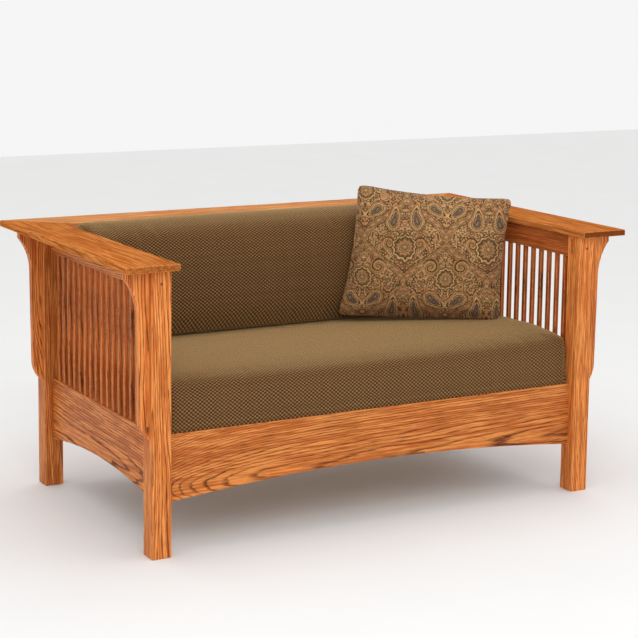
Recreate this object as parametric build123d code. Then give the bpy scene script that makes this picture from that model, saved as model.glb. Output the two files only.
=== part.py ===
from build123d import *
import math
import os

# Mission settle: an oak frame with flat arm and back caps, slatted sides and
# back, arched seat rails, corbelled posts, a slatted seat deck, two loose
# cushions and a throw pillow. All lengths are in millimetres. Seen from the
# front, X runs to the right, Y to the back and Z up. The pieces are laid out
# about the middle of the four posts, and written with the origin on the floor
# under the middle of the caps.

# Frame
frame_width = 1420.0
frame_depth = 820.0
overall_height = 787.0
post_side = 56.0
post_edge_chamfer = 2.0
foot_chamfer = 2.0

# Caps that lie on the posts and top rails
cap_thickness = 18.0
arm_cap_width = 150.0
back_cap_width = 134.0
cap_side_overhang = 84.0
cap_front_overhang = 33.0
cap_back_overhang = 78.0
cap_edge_radius = 4.0
cap_lower_edge_chamfer = 1.5
mitre_spline_width = 36.0
mitre_spline_length = 80.0
mitre_spline_thickness = 4.0
mitre_spline_stop = 22.0

# Rails and their mitred tenons
rail_thickness = 20.0
rail_setback = 26.0
rail_edge_chamfer = 1.2
seat_rail_top = 325.0
seat_rail_height = 184.0
front_arch_rise = 37.0
side_arch_rise = 32.0
top_rail_height = 67.0
tenon_thickness = 8.0
tenon_shoulder = 12.0
tenon_mitre_gap = 0.5

# Slats between the top rails and the seat rails
slat_width = 12.0
slat_thickness = 11.5
slat_gap = 28.0
slat_seat_depth = 8.0
slat_edge_chamfer = 0.8

# Corbels on the outer faces of the posts
corbel_thickness = 22.0
corbel_top_projection = 66.0
corbel_lip_height = 22.0
corbel_cove_height = 96.0
corbel_neck_projection = 30.5
corbel_waist_projection = 27.0
corbel_toe_height = 60.0
corbel_length = 450.0
corbel_edge_chamfer = 1.0

# Pegs in the front posts and dowels from their tops into the arm caps
peg_diameter = 8.0
peg_length = 22.0
peg_drop = 37.0
peg_proud = 0.4
dowel_diameter = 8.0
dowel_length = 30.0
dowel_bite = 11.0

# Loose tongues between corbels and posts and between top rails and caps
corbel_tongue_length = 220.0
corbel_tongue_width = 24.0
corbel_tongue_thickness = 6.0
cap_tongue_length = 60.0
cap_tongue_width = 18.0
cap_tongue_thickness = 5.0
cap_tongue_spacing = 240.0
blind_end_gap = 1.0

# Seat deck: notched cleats and the slats in their notches
cleat_height = 36.0
cleat_depth = 24.0
deck_slat_width = 75.0
deck_slat_thickness = 18.0
deck_slat_gap = 32.0
deck_notch_depth = 6.0
deck_notch_clearance = 0.5
deck_end_gap = 0.5
deck_edge_chamfer = 1.5

# Screws that hold the cleats
screw_shank = 4.0
screw_head = 8.0
screw_head_depth = 3.0
screw_length = 38.0
screw_count = 3

# Clearance round the loose upholstery
soft_clearance = 0.35

# Seat cushion
seat_cushion_side_gap = 3.0
seat_cushion_front_setback = 32.0
seat_cushion_back_gap = 3.0
seat_cushion_crest = 155.0
seat_cushion_front_height = 142.0
seat_cushion_rear_height = 127.0
seat_cushion_side_drop = 12.0
seat_cushion_foot_draw = 9.0
seat_cushion_roll = 26.0
seat_cushion_edge_round = 20.0
seat_cushion_crest_setback = 280.0

# The roll from the seat cushion's crown into its front: how far back and how
# far down each point lies, as shares of the roll
seat_cushion_roll_shares = ((1.00, 0.00), (0.42, 0.30), (0.20, 1.00))

# Back cushion
back_cushion_side_gap = 4.0
back_cushion_back_gap = 0.5
back_cushion_thickness = 200.0
back_cushion_top_thickness = 150.0
back_cushion_proud = 10.7
back_cushion_foot_draw = 18.0
back_cushion_front_belly = 12.0
back_cushion_crest_rise = 26.0
back_cushion_edge_round = 18.0
back_cushion_side_drop = 8.0

# Throw pillow
pillow_width = 500.0
pillow_left_height = 410.0
pillow_right_height = 375.0
pillow_left_slump = 52.0
pillow_right_slump = 30.0
pillow_thickness = 150.0
pillow_seam_thickness = 4.0
pillow_side_draw = 14.0
pillow_turn = 34.5
pillow_lean = 12.0
pillow_cap_gap = 1.5
pillow_start_gap = 60.0
pillow_settle_rounds = 4
pillow_settle_steps = 16
pillow_settle_tolerance = 0.05

# Cutters run this far past the faces that they open
overrun = 5.0

# Sizes worked out from those above
inner_width = frame_width - 2 * post_side
inner_depth = frame_depth - 2 * post_side
cap_underside = overall_height - cap_thickness
rail_back = rail_setback + rail_thickness
rail_centre = rail_setback + rail_thickness / 2
tenon_near = rail_centre - tenon_thickness / 2
tenon_far = rail_centre + tenon_thickness / 2
seat_rail_bottom = seat_rail_top - seat_rail_height
top_rail_bottom = cap_underside - top_rail_height
cap_half_width = frame_width / 2 + cap_side_overhang
cap_front = -frame_depth / 2 - cap_front_overhang
cap_back = frame_depth / 2 + cap_back_overhang
cap_inner_x = cap_half_width - arm_cap_width
cap_inner_y = cap_back - back_cap_width
cap_middle_y = (cap_front + cap_back) / 2
deck_underside = seat_rail_top - deck_slat_thickness
cleat_top = deck_underside + deck_notch_depth
cushion_floor = seat_rail_top + soft_clearance


def block(x0, x1, y0, y1, z0, z1):
    """A box given by its six limits."""
    size = Box(x1 - x0, y1 - y0, z1 - z0)
    return Pos((x0 + x1) / 2, (y0 + y1) / 2, (z0 + z1) / 2) * size


def rod(diameter, length, start, direction):
    """A round bar from a point along a direction."""
    frame = Plane(origin=start, z_dir=direction)
    return extrude(frame * Circle(diameter / 2), length)


def even_places(span, width, gap):
    """Centres of equal pieces that fill a span with equal gaps, ends included."""
    count = max(1, round((span - gap) / (width + gap)))
    pitch = (span - count * width) / (count + 1) + width
    return [(i - (count - 1) / 2) * pitch for i in range(count)]


def at_corner(shape, right, back):
    """Move a shape made at an outer corner to one of the frame's four corners."""
    placed = Pos(-frame_width / 2, -frame_depth / 2, 0) * shape
    if right:
        placed = mirror(placed, about=Plane.YZ)
    if back:
        placed = mirror(placed, about=Plane.XZ)
    return placed


def on_front(shape):
    """Move a rail's shape, made with its outer face on Y zero, to the front."""
    return Pos(0, -frame_depth / 2 + rail_setback, 0) * shape


def on_back(shape):
    """The same at the back."""
    return mirror(on_front(shape), about=Plane.XZ)


def on_left(shape):
    """The same at the left side, turned to run front to back."""
    return Pos(-frame_width / 2 + rail_setback, 0, 0) * Rot(0, 0, -90) * shape


def on_right(shape):
    """The same at the right side."""
    return mirror(on_left(shape), about=Plane.YZ)


# Heights of the mortises, for the seat rails and the top rails
tenon_spans = (
    (seat_rail_bottom + tenon_shoulder, seat_rail_top - tenon_shoulder),
    (top_rail_bottom + tenon_shoulder, cap_underside - tenon_shoulder),
)
slat_places_side = even_places(inner_depth, slat_width, slat_gap)
slat_places_back = even_places(inner_width, slat_width, slat_gap)
corbel_bottom = cap_underside - corbel_length


def corbel_tongue(slack):
    """The loose tongue between a corbel and its post, or the slot for it."""
    half_width = corbel_tongue_width / 2 + slack
    half_length = corbel_tongue_length / 2 + slack
    near = (post_side - corbel_tongue_thickness) / 2
    height = (corbel_bottom + cap_underside) / 2
    return block(
        -half_width,
        half_width,
        near,
        near + corbel_tongue_thickness,
        height - half_length,
        height + half_length,
    )


def corner_post(front):
    """A post at its outer corner. A front post takes a dowel and a peg too."""
    post = block(0, post_side, 0, post_side, 0, cap_underside)
    post = chamfer(post.edges().filter_by(Axis.Z), post_edge_chamfer)
    post = chamfer(post.faces().sort_by(Axis.Z)[0].edges(), foot_chamfer)
    for low, high in tenon_spans:
        open_side = post_side + overrun
        post -= block(tenon_near, open_side, tenon_near, tenon_far, low, high)
        post -= block(tenon_near, tenon_far, tenon_near, open_side, low, high)
    post -= corbel_tongue(blind_end_gap)
    if front:
        middle = post_side / 2
        top_bite = dowel_length - dowel_bite
        post -= rod(dowel_diameter, top_bite, (middle, middle, cap_underside), (0, 0, -1))
        peg_height = cap_underside - peg_drop
        post -= rod(peg_diameter, peg_length, (middle, 0, peg_height), (0, 1, 0))
    return post


def post_peg():
    """The round wooden peg in the front face of a front post."""
    start = (post_side / 2, -peg_proud, cap_underside - peg_drop)
    return rod(peg_diameter, peg_length + peg_proud - blind_end_gap, start, (0, 1, 0))


def corbel():
    """A bracket with a cove under its lip and a rounded toe, on a post's side."""
    lip_bottom = cap_underside - corbel_lip_height
    cove_bottom = lip_bottom - corbel_cove_height
    toe_top = corbel_bottom + corbel_toe_height
    taper = (
        corbel_neck_projection - corbel_waist_projection,
        cove_bottom - toe_top,
    )
    lip = (corbel_top_projection, lip_bottom)
    neck = (corbel_neck_projection, cove_bottom)
    waist = (corbel_waist_projection, toe_top)
    toe = (0, corbel_bottom)
    outline = (
        Polyline(toe, (0, cap_underside), (corbel_top_projection, cap_underside), lip)
        + TangentArc(neck, lip, tangent=taper)
        + Line(neck, waist)
        + TangentArc(waist, toe, tangent=(-taper[0], -taper[1]))
    )
    side = Plane(origin=(0, 0, 0), x_dir=(-1, 0, 0), z_dir=(0, 1, 0))
    shape = extrude(side * make_face(outline), corbel_thickness)
    outer = [e for e in shape.edges() if e.center().X < -corbel_edge_chamfer]
    along = [
        e
        for e in outer
        if abs(e.position_at(0).Y - e.position_at(1).Y) < corbel_edge_chamfer
        and e.center().Z < cap_underside - corbel_edge_chamfer
    ]
    shape = chamfer(along, corbel_edge_chamfer)
    shape = Pos(0, (post_side - corbel_thickness) / 2, 0) * shape
    return shape - corbel_tongue(blind_end_gap)


def cap_dowel():
    """The dowel from the top of a front post up into its arm cap."""
    low = cap_underside - (dowel_length - dowel_bite) + blind_end_gap
    length = dowel_length - 2 * blind_end_gap
    return rod(dowel_diameter, length, (post_side / 2, post_side / 2, low), (0, 0, 1))


def tenon(clear_length, low, high):
    """A mitred tenon on the right end of a rail, long on its outer cheek."""
    near = tenon_near - rail_setback
    far = tenon_far - rail_setback
    root = clear_length / 2
    long_reach = root + post_side - tenon_near - tenon_mitre_gap
    short_reach = root + post_side - tenon_far - tenon_mitre_gap
    plan = Polygon((root, near), (long_reach, near), (short_reach, far), (root, far), align=None)
    return extrude(Pos(0, 0, low) * plan, high - low)


def rail(clear_length, bottom, top, rise, span):
    """A rail with eased edges, a tenon at each end and an optional arch."""
    half = clear_length / 2
    sides = Polyline((-half, bottom), (-half, top), (half, top), (half, bottom))
    if rise:
        low_edge = ThreePointArc((half, bottom), (0, bottom + rise), (-half, bottom))
    else:
        low_edge = Line((half, bottom), (-half, bottom))
    face = Plane(origin=(0, 0, 0), x_dir=(1, 0, 0), z_dir=(0, -1, 0))
    body = extrude(face * make_face(sides + low_edge), -rail_thickness)
    ends = body.edges().filter_by(Axis.Z) + body.edges().filter_by(Axis.Y)
    long_edges = [e for e in body.edges() if e not in ends]
    body = chamfer(long_edges, rail_edge_chamfer)
    right_tenon = tenon(clear_length, *span)
    return body + right_tenon + mirror(right_tenon, about=Plane.YZ)


def slat_mortises(places, edge, depth):
    """Cutters for the slat ends in a rail's edge."""
    near = (rail_thickness - slat_thickness) / 2
    far = near + slat_thickness
    half = slat_width / 2
    low, high = min(edge, edge + depth), max(edge, edge + depth)
    return [block(x - half, x + half, near, far, low, high) for x in places]


def slats(places):
    """The upright slats of one side, housed at both ends."""
    near = (rail_thickness - slat_thickness) / 2
    low = seat_rail_top - slat_seat_depth
    high = top_rail_bottom + slat_seat_depth
    half = slat_width / 2
    one = block(-half, half, near, near + slat_thickness, low, high)
    one = chamfer(one.edges().filter_by(Axis.Z), slat_edge_chamfer)
    return [Pos(x, 0, 0) * one for x in places]


def tongue_places(clear_length):
    """Centres of the loose tongues along a top rail."""
    return even_places(clear_length, cap_tongue_length, cap_tongue_spacing - cap_tongue_length)


def cap_tongue(x, slack):
    """A loose tongue from a top rail up into its cap, or the slot for it."""
    half_length = cap_tongue_length / 2 + slack
    half_width = cap_tongue_width / 2 + slack
    near = (rail_thickness - cap_tongue_thickness) / 2
    return block(
        x - half_length,
        x + half_length,
        near,
        near + cap_tongue_thickness,
        cap_underside - half_width,
        cap_underside + half_width,
    )


def seat_rail(clear_length, rise, places):
    """An arched seat rail, with mortises for slats where it carries them."""
    body = rail(clear_length, seat_rail_bottom, seat_rail_top, rise, tenon_spans[0])
    for cut in slat_mortises(places, seat_rail_top, -slat_seat_depth):
        body -= cut
    return body


def top_rail(clear_length, places):
    """A straight rail under a cap, with slots for slats and loose tongues."""
    body = rail(clear_length, top_rail_bottom, cap_underside, 0, tenon_spans[1])
    for cut in slat_mortises(places, top_rail_bottom, slat_seat_depth):
        body -= cut
    for x in tongue_places(clear_length):
        body -= cap_tongue(x, blind_end_gap)
    return body


def screw(length, start, direction):
    """A screw with a round flat head, head first, from its head's outer face."""
    along = Vector(*direction)
    neck = Vector(*start) + along * screw_head_depth
    head = rod(screw_head, screw_head_depth, start, direction)
    return head + rod(screw_shank, length - screw_head_depth, tuple(neck), direction)


def cleat_screws():
    """The screws that hold a cleat to the inner face of its rail."""
    height = cleat_top - cleat_height / 2
    face = rail_thickness + cleat_depth
    pitch = inner_width / screw_count
    places = [(i - (screw_count - 1) / 2) * pitch for i in range(screw_count)]
    return [screw(screw_length, (x, face, height), (0, -1, 0)) for x in places]


def deck_places():
    """Centres of the deck slats."""
    return even_places(inner_width, deck_slat_width, deck_slat_gap)


def cleat():
    """The notched batten on a seat rail's inner face that carries the deck slats."""
    half = inner_width / 2 - deck_end_gap
    low = cleat_top - cleat_height
    far = rail_thickness + cleat_depth
    body = block(-half, half, rail_thickness, far, low, cleat_top)
    side = deck_slat_width / 2 + deck_notch_clearance
    for x in deck_places():
        body -= block(x - side, x + side, rail_thickness, far, deck_underside, cleat_top)
    for fastener in cleat_screws():
        body -= fastener
    return body


def deck_slat(x):
    """One slat of the seat deck, from the front rail to the back rail."""
    half = frame_depth / 2 - rail_back - deck_end_gap
    side = deck_slat_width / 2
    body = block(x - side, x + side, -half, half, deck_underside, seat_rail_top)
    return chamfer(body.edges().filter_by(Axis.Y), deck_edge_chamfer)


def mitre_plane():
    """The upright plane of the left mitre, X along it from the outer corner."""
    outer = Vector(-cap_half_width, cap_back, cap_underside + cap_thickness / 2)
    along = Vector(arm_cap_width, -back_cap_width, 0).normalized()
    return Plane(origin=outer, x_dir=along, z_dir=along.cross(Vector(0, 0, 1)))


def mitre_spline(slack):
    """The loose tongue across the left mitre, or the slot for it."""
    length = mitre_spline_length + 2 * slack
    width = mitre_spline_width + 2 * slack
    tongue = Box(length, mitre_spline_thickness, width)
    return mitre_plane() * Pos(mitre_spline_stop + mitre_spline_length / 2, 0, 0) * tongue


def eased_board(corners, mitred):
    """A flat cap from its plan, its edges eased save those at its mitres.

    The edges that are left sharp run from the corners numbered in mitred to the
    next ones.
    """
    board = extrude(Pos(0, 0, cap_underside) * Polygon(*corners, align=None), cap_thickness)
    seams = [
        Edge.make_line((*corners[number], 0), (*corners[(number + 1) % len(corners)], 0))
        for number in mitred
    ]

    def eased(edge):
        middle = edge.position_at(0.5)
        return all(seam.distance_to((middle.X, middle.Y, 0)) > cap_edge_radius for seam in seams)

    top = board.faces().sort_by(Axis.Z)[-1].edges()
    board = fillet([edge for edge in top if eased(edge)], cap_edge_radius)
    bottom = board.faces().sort_by(Axis.Z)[0].edges()
    return chamfer([edge for edge in bottom if eased(edge)], cap_lower_edge_chamfer)


def left_arm_cap():
    """The left arm cap, mitred at the back, with its slot and its holes."""
    corners = [
        (-cap_half_width, cap_front),
        (-cap_inner_x, cap_front),
        (-cap_inner_x, cap_inner_y),
        (-cap_half_width, cap_back),
    ]
    board = eased_board(corners, mitred=(2,))
    board -= mitre_spline(blind_end_gap)
    board -= at_corner(cap_dowel_hole(), False, False)
    for x in tongue_places(inner_depth):
        board -= on_left(cap_tongue(x, blind_end_gap))
    return board


def back_cap():
    """The back cap, mitred at both ends, with its slots and its holes."""
    corners = [
        (-cap_inner_x, cap_inner_y),
        (cap_inner_x, cap_inner_y),
        (cap_half_width, cap_back),
        (-cap_half_width, cap_back),
    ]
    board = eased_board(corners, mitred=(1, 3))
    board -= mitre_spline(blind_end_gap)
    board -= mirror(mitre_spline(blind_end_gap), about=Plane.YZ)
    for x in tongue_places(inner_width):
        board -= on_back(cap_tongue(x, blind_end_gap))
    return board


def cap_dowel_hole():
    """The blind hole for a front post's dowel in the underside of a cap."""
    start = (post_side / 2, post_side / 2, cap_underside)
    return rod(dowel_diameter, dowel_bite, start, (0, 0, 1))


# Stations of a cushion's loft, from one end to its middle: how far in from the
# end, how much of the edge rounding is left, and how much of the crown has come
cushion_station_shares = (
    (0.000, 1.00, 0.00),
    (0.004, 0.52, 0.06),
    (0.012, 0.18, 0.14),
    (0.030, 0.00, 0.28),
    (0.080, 0.00, 0.52),
    (0.150, 0.00, 0.72),
    (0.250, 0.00, 0.88),
    (0.370, 0.00, 0.97),
)


def stations(half_length):
    """Places, rounding shares and crown shares along a cushion, end to end."""
    left = [
        (-half_length * (1 - 2 * inward), rounding, crown)
        for inward, rounding, crown in cushion_station_shares
    ]
    right = [(-x, rounding, crown) for x, rounding, crown in reversed(left)]
    return left + [(0, 0, 1)] + right


def closed_section(x, edges):
    """A face across a cushion at one station, from edges drawn in Y and Z."""
    across = Plane(origin=(x, 0, 0), x_dir=(0, 1, 0), z_dir=(1, 0, 0))
    outline = edges[0]
    for edge in edges[1:]:
        outline += edge
    return across * make_face(outline)


def seat_cushion_section(x, rounding, crown):
    """The seat cushion's section: rolled front, crowned top, low shelf behind."""
    inset = seat_cushion_edge_round * rounding
    drop = seat_cushion_side_drop * (1 - crown)
    front = -frame_depth / 2 + seat_cushion_front_setback + inset
    back = frame_depth / 2 - rail_back - seat_cushion_back_gap - inset
    floor = cushion_floor
    shelf = floor + seat_cushion_rear_height - inset
    front_top = floor + seat_cushion_front_height - inset - drop
    crest = floor + seat_cushion_crest - inset - drop
    shelf_front = cap_inner_y - back_cushion_back_gap - back_cushion_thickness
    crest_y = -frame_depth / 2 + seat_cushion_crest_setback
    toe = (front + seat_cushion_foot_draw, floor)
    heel = (back - seat_cushion_foot_draw, floor)
    heel_top = (back - seat_cushion_foot_draw, shelf)
    brow, bend, shoulder = [
        (front + seat_cushion_roll * back_share, front_top - seat_cushion_roll * down_share)
        for back_share, down_share in seat_cushion_roll_shares
    ]
    return closed_section(
        x,
        [
            Line(toe, heel),
            ThreePointArc(heel, (back, (floor + shelf) / 2), heel_top),
            Line(heel_top, (shelf_front, shelf)),
            ThreePointArc((shelf_front, shelf), (crest_y, crest), brow),
            ThreePointArc(brow, bend, shoulder),
            ThreePointArc(shoulder, (front, (floor + front_top) / 2), toe),
        ],
    )


def seat_cushion():
    """The seat cushion, resting flat on the deck between the front posts."""
    half = inner_width / 2 - seat_cushion_side_gap
    return loft([seat_cushion_section(*place) for place in stations(half)], ruled=True)


def back_cushion_section(x, rounding, crown):
    """The back cushion's section: flat foot, bellied front, rounded crest."""
    inset = back_cushion_edge_round * rounding
    drop = back_cushion_side_drop * (1 - crown)
    floor = cushion_floor + seat_cushion_rear_height + soft_clearance
    back = cap_inner_y - back_cushion_back_gap - inset
    front = cap_inner_y - back_cushion_back_gap - back_cushion_thickness + inset + drop
    crest = overall_height + back_cushion_proud - inset - drop
    top = crest - back_cushion_crest_rise
    middle = (floor + top) / 2
    top_front_y = back + inset - back_cushion_top_thickness + inset
    toe = (front + back_cushion_foot_draw, floor)
    heel = (back - back_cushion_foot_draw / 2, floor)
    heel_top = (back - back_cushion_foot_draw / 2, top)
    brow = (top_front_y, top)
    belly = ((toe[0] + brow[0]) / 2 - back_cushion_foot_draw - back_cushion_front_belly * crown)
    return closed_section(
        x,
        [
            Line(toe, heel),
            ThreePointArc(heel, (back, middle), heel_top),
            ThreePointArc(heel_top, ((heel_top[0] + brow[0]) / 2, crest), brow),
            ThreePointArc(brow, (belly, middle), toe),
        ],
    )


def back_cushion():
    """The back cushion, standing on the seat cushion against the back cap."""
    half = cap_inner_x - back_cushion_side_gap
    return loft([back_cushion_section(*place) for place in stations(half)], ruled=True)


def pillow_lens(span):
    """A lens across the pillow, with a seam's thickness at both ends."""
    seam = pillow_seam_thickness / 2
    crown = pillow_thickness / 2
    half = span / 2
    outline = (
        ThreePointArc((-half, seam), (0, crown), (half, seam))
        + Line((half, seam), (half, -seam))
        + ThreePointArc((half, -seam), (0, -crown), (-half, -seam))
        + Line((-half, -seam), (-half, seam))
    )
    return Plane.XZ * make_face(outline)


def pillow_body():
    """Two crossed lenses, each turned to lie along the slumped sides."""
    side_slump = (pillow_left_slump + pillow_right_slump) / 2
    top_slump = (pillow_left_height - pillow_right_height) / 2
    height = (pillow_left_height + pillow_right_height) / 2
    reach = pillow_width + pillow_left_slump + pillow_right_slump
    side_turn = math.degrees(math.atan2(side_slump, height))
    top_turn = math.degrees(math.atan2(top_slump, reach))
    across = extrude(pillow_lens(pillow_width), reach, both=True)
    along = extrude(pillow_lens(pillow_left_height), reach, both=True)
    middle = Pos(0, pillow_left_height / 2, 0)
    return Rot(0, 0, -side_turn) * across & middle * Rot(0, 0, 90 - top_turn) * along


def drawn_in(start, end, outward):
    """One side of the pillow's outline, drawn in between its two corners."""
    middle = (Vector(*start) + Vector(*end)) * 0.5 - Vector(*outward) * pillow_side_draw
    return ThreePointArc(start, (middle.X, middle.Y), end)


def pillow_outline():
    """The slumped outline: its foot straight, the other three sides drawn in."""
    low_left = (-pillow_width / 2, 0)
    low_right = (pillow_width / 2, 0)
    top_right = (pillow_width / 2 + pillow_right_slump, pillow_right_height)
    top_left = (-pillow_width / 2 + pillow_left_slump, pillow_left_height)
    return make_face(
        Line(low_left, low_right)
        + drawn_in(low_right, top_right, (1, 0))
        + drawn_in(top_right, top_left, (0, 1))
        + drawn_in(top_left, low_left, (-1, 0))
    )


def settled(piece, other, direction):
    """Move a piece to or from another until only the soft clearance is left."""
    way = Vector(*direction)
    for _ in range(pillow_settle_steps):
        room = piece.distance_to(other) - soft_clearance
        if abs(room) < pillow_settle_tolerance:
            break
        piece = Pos(*tuple(way * room)) * piece
    return piece


def throw_pillow(seat, back):
    """The throw pillow, turned into the corner and leaning on the back cushion."""
    trim = extrude(Pos(0, 0, -pillow_thickness) * pillow_outline(), 2 * pillow_thickness)
    body = pillow_body() & trim
    body = Rot(0, 0, -pillow_turn) * Rot(90 - pillow_lean, 0, 0) * body
    box = body.bounding_box()
    shift_x = cap_inner_x - pillow_cap_gap - box.max.X
    shift_y = cap_inner_y - back_cushion_thickness - pillow_start_gap - box.max.Y
    shift_z = cushion_floor + seat_cushion_crest + pillow_start_gap - box.min.Z
    body = Pos(shift_x, shift_y, shift_z) * body
    for _ in range(pillow_settle_rounds):
        body = settled(body, back, (0, 1, 0))
        body = settled(body, seat, (0, 0, -1))
    return body


def write(name, shapes):
    """Write one node's solid, or a group of solids, about the caps' middle."""
    shapes = shapes if isinstance(shapes, list) else [shapes]
    moved = [Pos(0, -cap_middle_y, 0) * shape for shape in shapes]
    solids = [solid for shape in moved for solid in shape.solids()]
    whole = solids[0] if len(solids) == 1 else Compound(children=solids)
    whole.label = name
    export_step(whole, os.path.join("parts", name + ".step"))


os.makedirs("parts", exist_ok=True)

corners = {
    "front_left": (False, False),
    "front_right": (True, False),
    "back_left": (False, True),
    "back_right": (True, True),
}
for corner, (right, back) in corners.items():
    write(corner + "_post", at_corner(corner_post(not back), right, back))
    write(corner + "_corbel", at_corner(corbel(), right, back))

write("post_pegs", [at_corner(post_peg(), right, False) for right in (False, True)])
write("corbel_tongues", [at_corner(corbel_tongue(0), *corner) for corner in corners.values()])
write("cap_dowels", [at_corner(cap_dowel(), right, False) for right in (False, True)])

left_cap = left_arm_cap()
write("left_arm_cap", left_cap)
write("right_arm_cap", mirror(left_cap, about=Plane.YZ))
write("back_cap", back_cap())
write("mitre_splines", [mitre_spline(0), mirror(mitre_spline(0), about=Plane.YZ)])
side_tongues = [cap_tongue(x, 0) for x in tongue_places(inner_depth)]
back_tongues = [cap_tongue(x, 0) for x in tongue_places(inner_width)]
write(
    "cap_tongues",
    [place(tongue) for place in (on_left, on_right) for tongue in side_tongues]
    + [on_back(tongue) for tongue in back_tongues],
)

side_seat_rail = seat_rail(inner_depth, side_arch_rise, slat_places_side)
side_top_rail = top_rail(inner_depth, slat_places_side)
front_rail = on_front(seat_rail(inner_width, front_arch_rise, []))
back_rail = on_back(seat_rail(inner_width, front_arch_rise, slat_places_back))
for fastener in cleat_screws():
    front_rail -= on_front(fastener)
    back_rail -= on_back(fastener)
write("front_seat_rail", front_rail)
write("back_seat_rail", back_rail)
write("left_seat_rail", on_left(side_seat_rail))
write("right_seat_rail", on_right(side_seat_rail))
write("left_top_rail", on_left(side_top_rail))
write("right_top_rail", on_right(side_top_rail))
write("back_top_rail", on_back(top_rail(inner_width, slat_places_back)))

write("left_slats", [on_left(slat) for slat in slats(slat_places_side)])
write("right_slats", [on_right(slat) for slat in slats(slat_places_side)])
write("back_slats", [on_back(slat) for slat in slats(slat_places_back)])

write("front_cleat", on_front(cleat()))
write("back_cleat", on_back(cleat()))
write("cleat_screws", [place(s) for place in (on_front, on_back) for s in cleat_screws()])
for number, x in enumerate(deck_places(), start=1):
    write(f"deck_slat_{number:02d}", deck_slat(x))

seat = seat_cushion()
back_rest = back_cushion()
write("seat_cushion", seat)
write("back_cushion", back_rest)
write("throw_pillow", throw_pillow(seat, back_rest))
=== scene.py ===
import logging
import math
from dataclasses import dataclass
from enum import Enum
from typing import Any, Union

import bpy
import numpy as np
from mathutils import Matrix, Vector


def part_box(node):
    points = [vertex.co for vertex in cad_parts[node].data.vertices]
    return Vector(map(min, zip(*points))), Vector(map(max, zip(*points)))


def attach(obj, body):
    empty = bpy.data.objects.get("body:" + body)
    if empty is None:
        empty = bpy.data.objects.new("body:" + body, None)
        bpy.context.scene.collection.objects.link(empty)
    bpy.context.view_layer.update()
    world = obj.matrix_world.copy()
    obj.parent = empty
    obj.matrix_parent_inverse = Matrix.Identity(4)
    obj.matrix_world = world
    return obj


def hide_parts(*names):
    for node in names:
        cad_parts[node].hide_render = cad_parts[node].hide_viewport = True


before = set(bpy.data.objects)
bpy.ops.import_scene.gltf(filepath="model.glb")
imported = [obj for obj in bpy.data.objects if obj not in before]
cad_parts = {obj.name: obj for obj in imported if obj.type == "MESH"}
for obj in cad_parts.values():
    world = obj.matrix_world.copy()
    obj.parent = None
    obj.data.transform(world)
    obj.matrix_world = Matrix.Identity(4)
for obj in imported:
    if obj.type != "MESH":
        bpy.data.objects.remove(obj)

# Mission settle: stained oak frame, two cushions in a basket weave and a throw
# pillow in a paisley tapestry. Lengths are in metres and colours are linear.

log = logging.getLogger("settle")
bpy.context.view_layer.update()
Colour = tuple[float, float, float]
Point = tuple[float, float, float]
Place = tuple[float, float]
Piece = bpy.types.Object
Material = bpy.types.Material
Term = Union["Wire", float, int]
Layers = list[tuple[Term, Any]]


class Wire:
    """One shader socket that can be written into sums like a number."""

    def __init__(self, shader: "Shader", socket: bpy.types.NodeSocket) -> None:
        """Hold one output socket of a material."""
        self.shader = shader
        self.socket = socket

    def maths(self, operation: str, first: Term, second: Term = 0.0) -> "Wire":
        """Add one Math node of the named operation."""
        return self.shader.node("Math", {"operation": operation}, {0: first, 1: second})

    def __add__(self, other: Term) -> "Wire":
        """Add."""
        return self.maths("ADD", self, other)

    def __radd__(self, other: Term) -> "Wire":
        """Add to a number."""
        return self.maths("ADD", other, self)

    def __sub__(self, other: Term) -> "Wire":
        """Subtract."""
        return self.maths("SUBTRACT", self, other)

    def __rsub__(self, other: Term) -> "Wire":
        """Subtract from a number."""
        return self.maths("SUBTRACT", other, self)

    def __mul__(self, other: Term) -> "Wire":
        """Multiply."""
        return self.maths("MULTIPLY", self, other)

    def __rmul__(self, other: Term) -> "Wire":
        """Multiply a number."""
        return self.maths("MULTIPLY", other, self)

    def __truediv__(self, other: Term) -> "Wire":
        """Divide."""
        return self.maths("DIVIDE", self, other)

    def __rtruediv__(self, other: Term) -> "Wire":
        """Divide a number."""
        return self.maths("DIVIDE", other, self)

    def __neg__(self) -> "Wire":
        """Change the sign."""
        return self.maths("MULTIPLY", self, -1.0)

    def __abs__(self) -> "Wire":
        """Drop the sign."""
        return self.maths("ABSOLUTE", self)

    def lower(self, other: Term) -> "Wire":
        """The smaller of two values."""
        return self.maths("MINIMUM", self, other)

    def higher(self, other: Term) -> "Wire":
        """The larger of two values."""
        return self.maths("MAXIMUM", self, other)

    def sine(self) -> "Wire":
        """The sine of an angle in radians."""
        return self.maths("SINE", self)

    def floor(self) -> "Wire":
        """The whole number below."""
        return self.maths("FLOOR", self)

    def fraction(self) -> "Wire":
        """What is left above the whole number below."""
        return self.maths("FRACT", self)

    def root(self) -> "Wire":
        """The square root."""
        return self.maths("SQRT", self)

    def angle(self, other: Term) -> "Wire":
        """The angle in radians whose tangent is this value over another."""
        return self.maths("ARCTAN2", self, other)

    def fade(self) -> "Wire":
        """The exponential, which fades to zero as the value falls."""
        return self.maths("EXPONENT", self)

    def above(self, limit: Term) -> "Wire":
        """One where the value is over a limit, else zero."""
        return self.maths("GREATER_THAN", self, limit)

    def step(self, low: float, high: float) -> "Wire":
        """A smooth rise from zero at one value to one at another."""
        settings = {"interpolation_type": "SMOOTHSTEP"}
        return self.shader.node("MapRange", settings, {0: self, 1: low, 2: high})

    def within(self, low: float, high: float) -> "Wire":
        """One up to a value, with a smooth fall to zero at the next."""
        return 1 - self.step(low, high)

    def band(self, middle: float, half_width: float, soft: float) -> "Wire":
        """One near a value, fading softly to zero beyond the half width."""
        return abs(self - middle).within(half_width, half_width + soft)


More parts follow.
